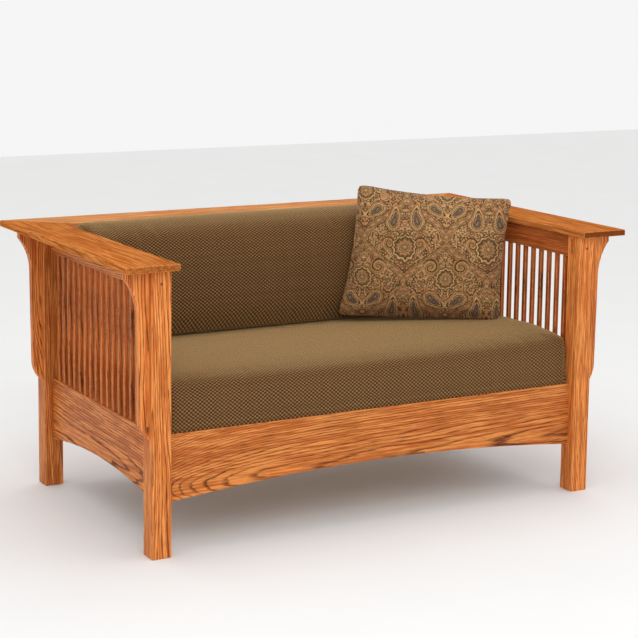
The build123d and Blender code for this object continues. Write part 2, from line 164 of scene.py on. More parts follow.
class Shader:
    """The nodes of one material."""

    def __init__(self, name: str) -> None:
        """Start an empty material.

        Args:
            name: The finish that the material shows.
        """
        self.material = bpy.data.materials.new(name)
        self.material.use_nodes = True
        self.tree = self.material.node_tree
        self.tree.nodes.clear()

    def feed(self, socket: bpy.types.NodeSocket, value: Any) -> None:
        """Give a socket a link or a plain value.

        Args:
            socket: The input to fill.
            value: A wire, a number, a colour or a vector.
        """
        if isinstance(value, Wire):
            self.tree.links.new(value.socket, socket)
        elif isinstance(value, tuple) and socket.type == "RGBA":
            socket.default_value = (*value, 1.0)
        else:
            socket.default_value = value

    def node(
        self, kind: str, settings: dict[str, Any], values: dict[Any, Any], out: Any = 0
    ) -> Wire:
        """Add any node.

        Args:
            kind: The node's type, without its prefix.
            settings: Its own settings, a ramp's stops among them.
            values: The values or wires of its inputs.
            out: Which output to use.

        Returns:
            The chosen output.
        """
        made = self.tree.nodes.new("ShaderNode" + kind)
        for name, value in settings.items():
            if name == "stops":
                self.set_stops(made.color_ramp, value)
            else:
                setattr(made, name, value)
        for name, value in values.items():
            self.feed(made.inputs[name], value)
        return Wire(self, made.outputs[out])

    def set_stops(self, ramp: bpy.types.ColorRamp, stops: list[tuple[float, Colour]]) -> None:
        """Fill a ramp.

        Args:
            ramp: The ramp of a Color Ramp node.
            stops: Places and colours from left to right.
        """
        while len(ramp.elements) < len(stops):
            ramp.elements.new(0.5)
        for element, (place, colour) in zip(ramp.elements, stops):
            element.position = place
            element.color = (*colour, 1.0)

    def place(self) -> Wire:
        """The point on the object, in the object's own frame."""
        return self.node("TexCoord", {}, {}, "Object")

    def split(self, vector: Wire) -> tuple[Wire, Wire, Wire]:
        """Take a vector apart.

        Args:
            vector: The vector, or a colour.

        Returns:
            Its three parts.
        """
        first = self.node("SeparateXYZ", {}, {0: vector})
        outputs = first.socket.node.outputs
        return first, Wire(self, outputs[1]), Wire(self, outputs[2])

    def join(self, x: Term, y: Term, z: Term) -> Wire:
        """A vector of three values."""
        return self.node("CombineXYZ", {}, {0: x, 1: y, 2: z})

    def mix(self, share: Term, first: Any, second: Any) -> Wire:
        """Mix two colours, where the share is how much of the second comes in."""
        settings = {"data_type": "RGBA"}
        return self.node("Mix", settings, {0: share, 6: first, 7: second}, 2)

    def lay(self, under: Any, layers: Layers) -> Wire:
        """Lay colours over one another.

        Args:
            under: The colour below them all.
            layers: The share and the colour of each layer, from the lowest up.

        Returns:
            The colour with every layer on it.
        """
        for share, colour in layers:
            under = self.mix(share, under, colour)
        return under

    def brighten(self, colour: Any, by: Term) -> Wire:
        """Scale a colour by a factor, where one changes nothing."""
        settings = {"operation": "SCALE"}
        return self.node("VectorMath", settings, {0: colour, "Scale": by})

    def noise(self, x: Term, y: Term, z: Term, detail: float = 2.0, out: Any = 0) -> Wire:
        """Soft noise, about one half on average, over coordinates already scaled."""
        values = {"Vector": self.join(x, y, z), "Scale": 1.0, "Detail": detail}
        return self.node("TexNoise", {}, values, out)

    def chance(self, x: Term, y: Term, z: Term) -> Wire:
        """A value from zero to one that is fixed for each set of whole numbers."""
        settings = {"noise_dimensions": "3D"}
        return self.node("TexWhiteNoise", settings, {"Vector": self.join(x, y, z)})

    def bump(self, height: Wire, distance: float, strength: float = 1.0) -> Wire:
        """Relief from a height, where a height of one stands for the distance in metres."""
        values = {"Height": height, "Distance": distance, "Strength": strength}
        return self.node("Bump", {}, values)

    def finish(self, values: dict[str, Any]) -> Material:
        """Close the material with its surface.

        Args:
            values: The values or wires of the surface's inputs.

        Returns:
            The material.
        """
        surface = self.node("BsdfPrincipled", {}, values)
        output = self.tree.nodes.new("ShaderNodeOutputMaterial")
        self.tree.links.new(surface.socket, output.inputs["Surface"])
        return self.material


class Grain(Enum):
    """The way that a board's grain runs."""

    ALONG_X = (0, 1, 2)
    ALONG_Y = (1, 0, 2)
    ALONG_Z = (2, 0, 1)


@dataclass(frozen=True)
class Row:
    """Equal pieces that stand in a row along one axis."""

    axis: int
    first: float
    pitch: float
    width: float


@dataclass(frozen=True)
class StainedOak:
    """Satin oak in a warm stain, cut as a board from a log of its own."""

    grain: Grain
    heart: tuple[float, float]
    ring: float = 0.0042
    taper: float = 0.020
    tone: float = 1.0
    seed: float = 0.0
    sway: float = 1.0
    flame: float = 0.0
    flame_length: float = 0.13
    end_stain: float = 0.45
    contrast: float = 0.98
    gloss: float = 0.12
    light: Colour = (0.730, 0.258, 0.064)
    warm: Colour = (0.505, 0.135, 0.026)
    dark: Colour = (0.130, 0.028, 0.006)
    # The lighter edge colour is both rubbed wear and a painted highlight
    worn_and_highlight: Colour = (0.76, 0.330, 0.095)
    edge: float = 0.0028

    def material(self, name: str, low: Vector, high: Vector, row: Row | None = None) -> Material:
        """Make the wood of one board, or of a row of slats.

        Args:
            name: The material's name.
            low: The board's lowest corner.
            high: Its highest corner.
            row: The row, where several pieces stand in one node.

        Returns:
            The material.
        """
        shader = Shader(name)
        place = list(shader.split(shader.place()))
        middle = (low + high) / 2
        half = (high - low) / 2
        chance: Term = 0.5
        local = [place[i] - middle[i] for i in range(3)]
        reach = [half[i] for i in range(3)]
        if row:
            number = ((place[row.axis] - row.first) / row.pitch + 0.5).floor()
            local[row.axis] = place[row.axis] - row.first - number * row.pitch
            reach[row.axis] = row.width / 2
            chance = shader.chance(number, self.seed, 3.0)
        edges = [reach[i] - abs(local[i]) for i in range(3)]
        along, side, depth = (local[i] for i in self.grain.value)

        # Growth rings about the log's heart, which wanders and tapers
        slow = shader.noise(side * 4, depth * 4, along * 1.7 + self.seed, 1.0, 1)
        wander = shader.split(slow)
        heart_side = self.heart[0] + (wander[0] - 0.5) * (self.sway * 0.040)
        heart_depth = self.heart[1] + (wander[1] - 0.5) * (self.sway * 0.055)
        if row:
            heart_side = heart_side + (chance - 0.5) * 0.090
            heart_depth = heart_depth + (shader.chance(chance * 91, 1.0, 7.0) - 0.5) * 0.060
        offset_side = side - heart_side
        offset_depth = depth - heart_depth
        radius = (offset_side * offset_side + offset_depth * offset_depth).root()
        ripple = shader.noise(side * 70, depth * 70, along * 9 + self.seed, 3.0) - 0.5
        spacing = shader.noise(radius * 34 + self.seed, 0.0, along * 0.5, 1.0) - 0.5
        climb = along * self.taper
        if self.flame:
            from_end = (along + reach[self.grain.value[0]]) / self.flame_length
            climb = climb - (-from_end).fade() * self.flame
        phase = (radius - climb) / self.ring + ripple * 0.9 + spacing * 3.6
        ring = phase.fraction()
        weight = shader.chance(phase.floor(), self.seed, 9.0) * 0.55 + 0.60
        pore_noise = shader.noise(side * 320, depth * 320, along * 22 + self.seed, 2.0)
        early = ring.within(0.03, 0.34).higher(ring.step(0.92, 1.0)) * weight.lower(1.0)
        early = early * (pore_noise.step(0.38, 0.56) * 0.36 + 0.72)

        # Open pores, crowded in the early wood, and long fine streaks
        pores = pore_noise.step(0.50, 0.60) * (early * 0.55 + 0.45)
        streak = shader.noise(side * 150, depth * 150, along * 7 + self.seed, 3.0)
        cloud = shader.noise(side * 9, depth * 9, along * 3.2 + self.seed * 2, 2.0)

        wood = shader.lay(self.warm, [
            (streak.step(0.40, 0.60), self.light),
            (early * self.contrast, self.dark),
            (pores * (self.contrast * 0.62), self.dark),
        ])
        shade = (cloud - 0.5) * 0.42 + (chance - 0.5) * (0.34 if row else 0.0) + self.tone
        wood = shader.brighten(wood, shade)

        # End grain takes more stain
        end = edges[self.grain.value[0]].within(0.0004, 0.0012)
        wood = shader.mix(end * self.end_stain, wood, self.dark)

        # Edges rubbed lighter, unevenly, and a painted highlight along them
        nearest = edges[0].lower(edges[1])
        farther = edges[0].higher(edges[1])
        rim = nearest.higher(farther.lower(edges[2]))
        patches = shader.noise(place[0] * 60, place[1] * 60, place[2] * 60, 2.0).step(0.30, 0.62)
        wear_and_highlight = rim.within(self.edge * 0.25, self.edge) * patches
        wood = shader.mix(wear_and_highlight * 0.55, wood, self.worn_and_highlight)

        height = 1 - early * 0.35 - pores * 0.65
        rough = 0.40 + early * 0.05 + pores * 0.12 - wear_and_highlight * 0.06
        return shader.finish({
            "Base Color": wood,
            "Roughness": rough,
            "Normal": shader.bump(height, 0.00022, 0.7),
            "Specular IOR Level": self.gloss,
        })


@dataclass(frozen=True)
class PegWood:
    """Dark end-grain pegs and dowels."""

    face: Colour = (0.150, 0.045, 0.014)
    fleck: Colour = (0.260, 0.095, 0.030)
    rim: Colour = (0.060, 0.018, 0.007)

    def material(
        self, name: str, axis: Grain, centres: tuple[Vector, ...], radius: float
    ) -> Material:
        """Make the wood of round pegs.

        Args:
            name: The material's name.
            axis: The way that the pegs run.
            centres: A point on each peg's axis.
            radius: Their radius.

        Returns:
            The material.
        """
        shader = Shader(name)
        place = list(shader.split(shader.place()))
        along_axis, first, second = axis.value
        away: Term = 9.0
        for centre in centres:
            across = place[first] - centre[first]
            rise = place[second] - centre[second]
            distance = (across * across + rise * rise).root()
            away = distance.lower(away)
        rings = ((away / radius) * 19).sine() * 0.5 + 0.5
        fleck = shader.noise(place[first] * 1600, place[second] * 1600, place[along_axis] * 60, 2.0)
        wood = shader.lay(self.face, [
            (rings * 0.35, self.rim),
            (fleck.step(0.45, 0.7) * 0.4, self.fleck),
            (away.step(radius * 0.78, radius) * 0.75, self.rim),
        ])
        return shader.finish({
            "Base Color": wood,
            "Roughness": 0.44 + fleck * 0.12,
            "Normal": shader.bump(fleck, 0.00012, 0.6),
            "Coat Weight": 0.15,
            "Coat Roughness": 0.3,
        })


@dataclass(frozen=True)
class PlainWood:
    """Unfinished pale wood of the deck, cleats and loose tongues."""

    grain: Grain
    seed: float = 0.0
    light: Colour = (0.60, 0.42, 0.24)
    dark: Colour = (0.36, 0.22, 0.11)

    def material(self, name: str, low: Vector, high: Vector) -> Material:
        """Make the wood of one pale piece.

        Args:
            name: The material's name.
            low: The piece's lowest corner.
            high: Its highest corner.

        Returns:
            The material.
        """
        shader = Shader(name)
        place = list(shader.split(shader.place()))
        middle = (low + high) / 2
        local = [place[i] - middle[i] for i in range(3)]
        along, side, depth = (local[i] for i in self.grain.value)
        bow = shader.noise(side * 6, depth * 6, along * 2 + self.seed, 1.0) - 0.5
        from_side = side + 0.02
        from_depth = depth + 0.09 + bow * 0.04
        radius = (from_side * from_side + from_depth * from_depth).root()
        ring = (radius / 0.0036 + bow * 3).fraction()
        streak = shader.noise(side * 420, depth * 420, along * 12 + self.seed, 3.0)
        sawn = (along * 900 + depth * 200).sine() * 0.5 + 0.5
        wood = shader.lay(self.light, [
            (ring.step(0.2, 1.0) * 0.45, self.dark),
            (streak.step(0.5, 0.75) * 0.35, self.dark),
        ])
        return shader.finish({
            "Base Color": wood,
            "Roughness": 0.62 + streak * 0.18,
            "Normal": shader.bump(streak + sawn * 0.15, 0.0002, 0.6),
        })


@dataclass(frozen=True)
class ZincSteel:
    """Bright zinc on the screws, duller in the turned marks."""

    base: Colour = (0.62, 0.62, 0.60)
    dull: Colour = (0.34, 0.33, 0.31)

    def material(self, name: str) -> Material:
        """Make the metal of the screws.

        Args:
            name: The material's name.

        Returns:
            The material.
        """
        shader = Shader(name)
        x, y, z = shader.split(shader.place())
        spot = shader.noise(x * 420, y * 420, z * 420, 3.0)
        turned = (y * 5200).sine() * 0.5 + 0.5
        return shader.finish({
            "Base Color": shader.mix(spot.step(0.4, 0.7), self.base, self.dull),
            "Metallic": 1.0,
            "Roughness": 0.30 + spot * 0.25,
            "Normal": shader.bump(turned + spot, 0.00006, 0.6),
        })


@dataclass(frozen=True)
class BasketWeave:
    """Upholstery cloth in two yarns, woven over and under in small blocks."""

    block: tuple[float, float] = (0.0065, 0.0053)
    dark: Colour = (0.050, 0.021, 0.007)
    light: Colour = (0.262, 0.136, 0.048)
    threads: int = 3

    def material(self, name: str, panel: float) -> Material:
        """Make the cloth of a cushion.

        The blocks run over the cushion from its back over its top and down its
        front as one piece, and the two end panels are cut separately.

        Args:
            name: The material's name.
            panel: How far each end panel's seam lies from the middle.

        Returns:
            The material.
        """
        shader = Shader(name)
        x, y, z = shader.split(shader.place())
        end = abs(x).above(panel)
        over = y + z
        across = (x + (y - x) * end) / self.block[0]
        down = (over + (z - over) * end) / self.block[1]
        warped = shader.noise(x * 14, y * 14, z * 14, 1.0) - 0.5
        across = across + warped * 0.9
        down = down + warped * 0.7
        weave = (across * math.pi).sine() * (down * math.pi).sine()
        shown = weave.step(-0.16, 0.42)
        yarn_up = shader.chance((across * self.threads).floor(), 1.0, 2.0)
        yarn_over = shader.chance((down * self.threads).floor(), 5.0, 6.0)
        slub = shader.noise(across * 3, down * 0.6, x * 20, 2.0)
        yarn = yarn_up + (yarn_over - yarn_up) * shown
        heather = (yarn - 0.5) * 0.34 + (slub - 0.5) * 0.30 + 1.0
        colour = shader.mix(shown, self.dark, self.light)
        colour = shader.brighten(colour, heather)
        strand_up = (across * (math.pi * self.threads)).sine()
        strand_over = (down * (math.pi * self.threads)).sine()
        strand = abs(strand_up + (strand_over - strand_up) * shown)
        height = abs(weave).root() * 0.65 + strand * 0.35
        return shader.finish({
            "Base Color": colour,
            "Roughness": 0.88 - shown * 0.10,
            "Normal": shader.bump(height, 0.0009, 0.8),
            "Sheen Weight": 0.86,
            "Sheen Roughness": 0.42,
            "Sheen Tint": (0.86, 0.58, 0.26),
            "Specular IOR Level": 0.12,
        })


@dataclass(frozen=True)
class Stuffing:
    """How a cushion's cover fills out."""

    voxel: float
    pressure: float
    reach: float
    frames: int = 20
    quality: int = 6
    stretch: float = 15.0
    bend: float = 0.5


def from_points(name: str, points: list[Point], faces: list[tuple[int, ...]]) -> Piece:
    """Make an object from points and faces.

    Args:
        name: The object's name.
        points: Its points.
        faces: Its faces, each a run of point numbers.

    Returns:
        The object, in the scene.
    """
    mesh = bpy.data.meshes.new(name)
    mesh.from_pydata(points, [], faces)
    mesh.update()
    made = bpy.data.objects.new(name, mesh)
    bpy.context.scene.collection.objects.link(made)
    return made


def read_points(mesh: bpy.types.Mesh) -> np.ndarray:
    """Read the points of a mesh.

    Args:
        mesh: The mesh.

    Returns:
        The points as rows of three numbers.
    """
    flat = np.empty(len(mesh.vertices) * 3)
    mesh.vertices.foreach_get("co", flat)
    return flat.reshape(-1, 3)


def write_points(mesh: bpy.types.Mesh, points: np.ndarray) -> None:
    """Put moved points back into a mesh."""
    mesh.vertices.foreach_set("co", np.ascontiguousarray(points, float).ravel())
    mesh.update()


def applied(piece: Piece) -> None:
    """Turn a piece's modifiers into its mesh.

    Args:
        piece: The object that has them.
    """
    graph = bpy.context.evaluated_depsgraph_get()
    old = piece.data
    piece.data = bpy.data.meshes.new_from_object(piece.evaluated_get(graph))
    piece.modifiers.clear()
    bpy.data.meshes.remove(old)


def smooth(piece: Piece, levels: int) -> None:
    """Subdivide a piece and shade it smooth.

    Args:
        piece: The object.
        levels: How many times its faces are divided.
    """
    modifier = piece.modifiers.new("finer", "SUBSURF")
    modifier.levels = levels
    applied(piece)
    piece.data.shade_smooth()


def plump(piece: Piece, stuffing: Stuffing) -> None:
    """Fill a cover: even faces, then cloth under pressure, moved only so far.

    Args:
        piece: The closed cover.
        stuffing: How it fills out.
    """
    remesh = piece.modifiers.new("even", "REMESH")
    remesh.mode = "VOXEL"
    remesh.voxel_size = stuffing.voxel
    applied(piece)
    before = read_points(piece.data)
    cloth = piece.modifiers.new("cover", "CLOTH")
    cloth.settings.quality = stuffing.quality
    cloth.settings.use_pressure = True
    cloth.settings.uniform_pressure_force = stuffing.pressure
    cloth.settings.effector_weights.gravity = 0
    cloth.settings.tension_stiffness = stuffing.stretch
    cloth.settings.compression_stiffness = stuffing.stretch
    cloth.settings.bending_stiffness = stuffing.bend
    cloth.point_cache.frame_start = 1
    cloth.point_cache.frame_end = stuffing.frames
    for number in range(1, stuffing.frames + 1):
        bpy.context.scene.frame_set(number)
    applied(piece)
    after = read_points(piece.data)
    moved = after - before
    length = np.linalg.norm(moved, axis=1, keepdims=True)
    share = np.minimum(1.0, stuffing.reach / np.maximum(length, 1e-9))
    write_points(piece.data, before + moved * share)
    bpy.context.scene.frame_set(1)


def closed_loft(name: str, loops: list[list[Point]]) -> Piece:
    """Join loops of equal counts into a closed skin.

    Args:
        name: The object's name.
        loops: The loops from one end to the other.

    Returns:
        The object.
    """
    count = len(loops[0])
    points = [point for loop in loops for point in loop]
    faces: list[tuple[int, ...]] = []
    for row in range(len(loops) - 1):
        for column in range(count):
            after = (column + 1) % count
            start, end = row * count, (row + 1) * count
            faces.append((start + column, start + after, end + after, end + column))
    for start, turned in ((0, True), ((len(loops) - 1) * count, False)):
        centre = tuple(np.mean(loops[start // count], axis=0))
        points.append(centre)
        hub = len(points) - 1
        for column in range(count):
            after = (column + 1) % count
            corner = (start + column, start + after, hub)
            faces.append(corner[::-1] if turned else corner)
    return from_points(name, points, faces)


def spread(points: list[Place], count: int) -> list[Place]:
    """Even steps along a closed run of points.

    Args:
        points: The corners of the run, in order.
        count: How many steps.

    Returns:
        The stepped points.
    """
    ring = np.array(points + [points[0]])
    lengths = np.r_[0.0, np.cumsum(np.linalg.norm(np.diff(ring, axis=0), axis=1))]
    places = np.linspace(0, lengths[-1], count, endpoint=False)
    across = np.interp(places, lengths, ring[:, 0])
    up = np.interp(places, lengths, ring[:, 1])
    return list(zip(across, up))


def bent(start: Place, through: Place, end: Place, steps: int = 12) -> list[Place]:
    """Points along a smooth bend through three points, without the last.

    Args:
        start: Where it starts.
        through: The point at its middle.
        end: Where it ends.
        steps: How many points.

    Returns:
        The points.
    """
    s, m, e = (np.array(p) for p in (start, through, end))
    control = 2 * m - (s + e) / 2
    shares = np.arange(steps) / steps
    run = [(1 - t) ** 2 * s + 2 * t * (1 - t) * control + t * t * e for t in shares]
    return [tuple(point) for point in run]


@dataclass
class Cushion:
    """What the two long cushions share: a filled cover with two end panels."""

    name: str = ""
    node: str = ""
    round: float = 0.012
    round_power: float = 2.2
    crown_power: float = 3.0
    side_gap: float = 0.002
    rear_gap: float | None = None
    shrink: float = 0.006
    press: float = 0.011
    side_press: float = 0.006
    proud: float = 0.004
    panel_inset: float = 0.012
    seam_depth: float = 0.0016
    seam_width: float = 0.0035
    stations: int = 44
    steps: int = 150
    stuffing: Stuffing = Stuffing(voxel=0.008, pressure=4.0, reach=0.008)

    def slack(self) -> float:
        """How much smaller the cover starts, so that it can fill out."""
        return self.shrink

    def panel(self) -> float:
        """How far the seam of each end panel lies from the middle."""
        low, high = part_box(self.node)
        return (high.x - low.x) / 2 - self.panel_inset

    def shares(self) -> list[float]:
        """Places from end to end of the cushion, close together at the ends."""
        half = [math.sin(math.pi / 2 * i / self.stations) for i in range(self.stations + 1)]
        return [-share for share in reversed(half[1:])] + half

    def section(self, low: Vector, high: Vector, rounding: float, crown: float) -> list[Place]:
        """The outline across the cushion at one place, which each cushion has of its own."""
        raise NotImplementedError

    def build(self) -> Piece:
        """Make the cover, fill it, lay it in its place and sew its ends.

        Returns:
            The cushion.
        """
        low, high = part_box(self.node)
        slack = self.slack()
        rear = slack if self.rear_gap is None else self.rear_gap
        inner_low = low + Vector((self.side_gap, slack, 0))
        inner_high = high - Vector((self.side_gap, rear, slack))
        middle = (low.x + high.x) / 2
        half = (inner_high.x - inner_low.x) / 2
        loops = []
        for share in self.shares():
            rounding = (1 - min(1.0, (1 - abs(share)) * half / self.round)) ** self.round_power
            crown = 1 - abs(share) ** self.crown_power
            outline = spread(self.section(inner_low, inner_high, rounding, crown), self.steps)
            loops.append([(middle + share * half, y, z) for y, z in outline])
        piece = closed_loft(self.name, loops)
        plump(piece, self.stuffing)
        smooth(piece, 1)
        self.settle(piece, low, high)
        self.sew(piece, middle)
        return piece

    def settle(self, piece: Piece, low: Vector, high: Vector) -> None:
        """Press the cover flat below and at its ends, and fit it to its space.

        Args:
            piece: The cushion.
            low: The lowest corner of the space that it fills.
            high: Its highest corner.
        """
        points = read_points(piece.data)
        points[:, 2] -= points[:, 2].min()
        height = points[:, 2].max()
        pressed = np.maximum(0.0, points[:, 2] - self.press)
        points[:, 2] = low.z + pressed * height / (height - self.press)
        middle, half = (low.x + high.x) / 2, (high.x - low.x) / 2
        across = points[:, 0] - middle
        points[:, 0] = middle + across * (half + self.side_press) / np.abs(across).max()
        points[:, 0] = np.clip(points[:, 0], low.x, high.x)
        for axis, proud in ((1, 0.0), (2, self.proud)):
            least, most = points[:, axis].min(), points[:, axis].max()
            room = high[axis] + proud - low[axis]
            points[:, axis] = low[axis] + (points[:, axis] - least) * room / (most - least)
        write_points(piece.data, points)
        past = (*(points.min(0) - np.array(low)), *(points.max(0) - np.array(high)))
        reach = " ".join(f"{value * 1000:.1f}" for value in past)
        log.info("%s against its solid, in mm: %s", piece.name, reach)

    def sew(self, piece: Piece, middle: float) -> None:
        """Sink the cover in along the seams of its two end panels.

        Args:
            piece: The cushion.
            middle: Its middle across.
        """
        points = read_points(piece.data)
        away = np.abs(np.abs(points[:, 0] - middle) - self.panel())
        normals = np.empty(len(points) * 3)
        piece.data.vertices.foreach_get("normal", normals)
        share = np.exp(-((away / self.seam_width) ** 2))
        sunk = normals.reshape(-1, 3) * (share * self.seam_depth)[:, None]
        write_points(piece.data, points - sunk)


@dataclass
class SeatCushion(Cushion):
    """The long seat cushion with its rolled front and crowned top."""

    name: str = "seat_cushion_cover"
    node: str = "seat_cushion"
    rear_gap: float | None = 0.001
    crest: float = 0.155
    front_height: float = 0.142
    rear_height: float = 0.127
    side_rise: float = 0.012
    foot_draw: float = 0.002
    roll: float = 0.026
    crest_setback: float = 0.248
    shelf: float = 0.205
    toe_push: float = 0.016
    toe_rise: float = 0.045
    toe_flat: float = 0.022
    toe_fade: float = 0.040
    toe_gap: float = 0.001

    def section(self, low: Vector, high: Vector, rounding: float, crown: float) -> list[Place]:
        """The outline across the cushion at one place.

        Args:
            low: The lowest corner of the space that it fills.
            high: Its highest corner.
            rounding: How far the edge is rounded in, from none to all.
            crown: How much of the crown has come.

        Returns:
            The outline, front to back and round again, as Y and Z.
        """
        inset = self.round * rounding
        rise = self.side_rise * (1 - crown)
        front, back, floor = low.y + inset, high.y - inset, low.z
        top_front = floor + self.front_height - inset + rise - self.slack()
        crest = (low.y + self.crest_setback, floor + self.crest - inset + rise - self.slack())
        shelf = floor + self.rear_height - inset
        shelf_front = (high.y - self.shelf, shelf)
        toe = (front + self.foot_draw, floor)
        heel = (back - self.foot_draw, floor)
        heel_top = (back - self.foot_draw, shelf)
        brow = (front + self.roll * 1.2, top_front)
        bow = (front + self.roll * 0.38, top_front - self.roll * 0.30)
        shoulder = (front + 0.004, top_front - self.roll * 1.1)
        run = [(toe[0] + (heel[0] - toe[0]) * i / 40, floor) for i in range(40)]
        run += bent(heel, (back, (floor + shelf) / 2), heel_top)
        run += bent(heel_top, ((back + shelf_front[0]) / 2, shelf), shelf_front)
        run += bent(shelf_front, crest, brow, 40)
        run += bent(brow, bow, shoulder)
        run += bent(shoulder, (front - 0.002, (floor + top_front) / 2), toe)
        return run

    def settle(self, piece: Piece, low: Vector, high: Vector) -> None:
        """Settle the cushion, with its front foot forward over the rail.

        Args:
            piece: The cushion.
            low: The lowest corner of the space that it fills.
            high: Its highest corner.
        """
        super().settle(piece, low, high)
        points = read_points(piece.data)
        rise = np.clip(1 - (points[:, 2] - low.z) / self.toe_rise, 0, 1) ** 1.5
        near = np.clip(1 - (points[:, 1] - low.y - self.toe_flat) / self.toe_fade, 0, 1)
        forward = points[:, 1] - self.toe_push * rise * near
        least = low.y + self.toe_gap
        points[:, 1] = np.where(points[:, 1] > least, np.maximum(forward, least), points[:, 1])
        write_points(piece.data, points)


@dataclass
class BackCushion(Cushion):
    """The long back cushion, which stands on the seat cushion."""

    name: str = "back_cushion_cover"
    node: str = "back_cushion"
    round: float = 0.018
    press: float = 0.008
    side_press: float = 0.005
    steps: int = 110
    stuffing: Stuffing = Stuffing(voxel=0.008, pressure=4.0, reach=0.010)
    top_thickness: float = 0.150
    foot_draw: float = 0.005
    belly: float = 0.010
    crest_rise: float = 0.026
    side_drop: float = 0.008

    def section(self, low: Vector, high: Vector, rounding: float, crown: float) -> list[Place]:
        """The outline across the cushion at one place.

        Args:
            low: The lowest corner of the space that it fills.
            high: Its highest corner.
            rounding: How far the edge is rounded in, from none to all.
            crown: How much of the crown has come.

        Returns:
            The outline as Y and Z.
        """
        inset = self.round * rounding
        drop = self.side_drop * (1 - crown)
        back, front, floor = high.y - inset, low.y + inset + drop, low.z
        top = high.z - self.crest_rise - inset - drop
        crest = top + self.crest_rise
        middle = (floor + top) / 2
        toe = (front + self.foot_draw + self.belly, floor)
        heel = (back - self.foot_draw / 2, floor)
        heel_top = (back - self.foot_draw / 2, top)
        brow = (back + 2 * inset - self.top_thickness, top)
        belly = (toe[0] + brow[0]) / 2 - self.foot_draw - self.belly * crown
        run = [(toe[0] + (heel[0] - toe[0]) * i / 12, floor) for i in range(12)]
        run += bent(heel, (back, middle), heel_top, 20)
        run += bent(heel_top, ((heel_top[0] + brow[0]) / 2, crest), brow, 16)
        run += bent(brow, (belly, middle), toe, 24)
        return run


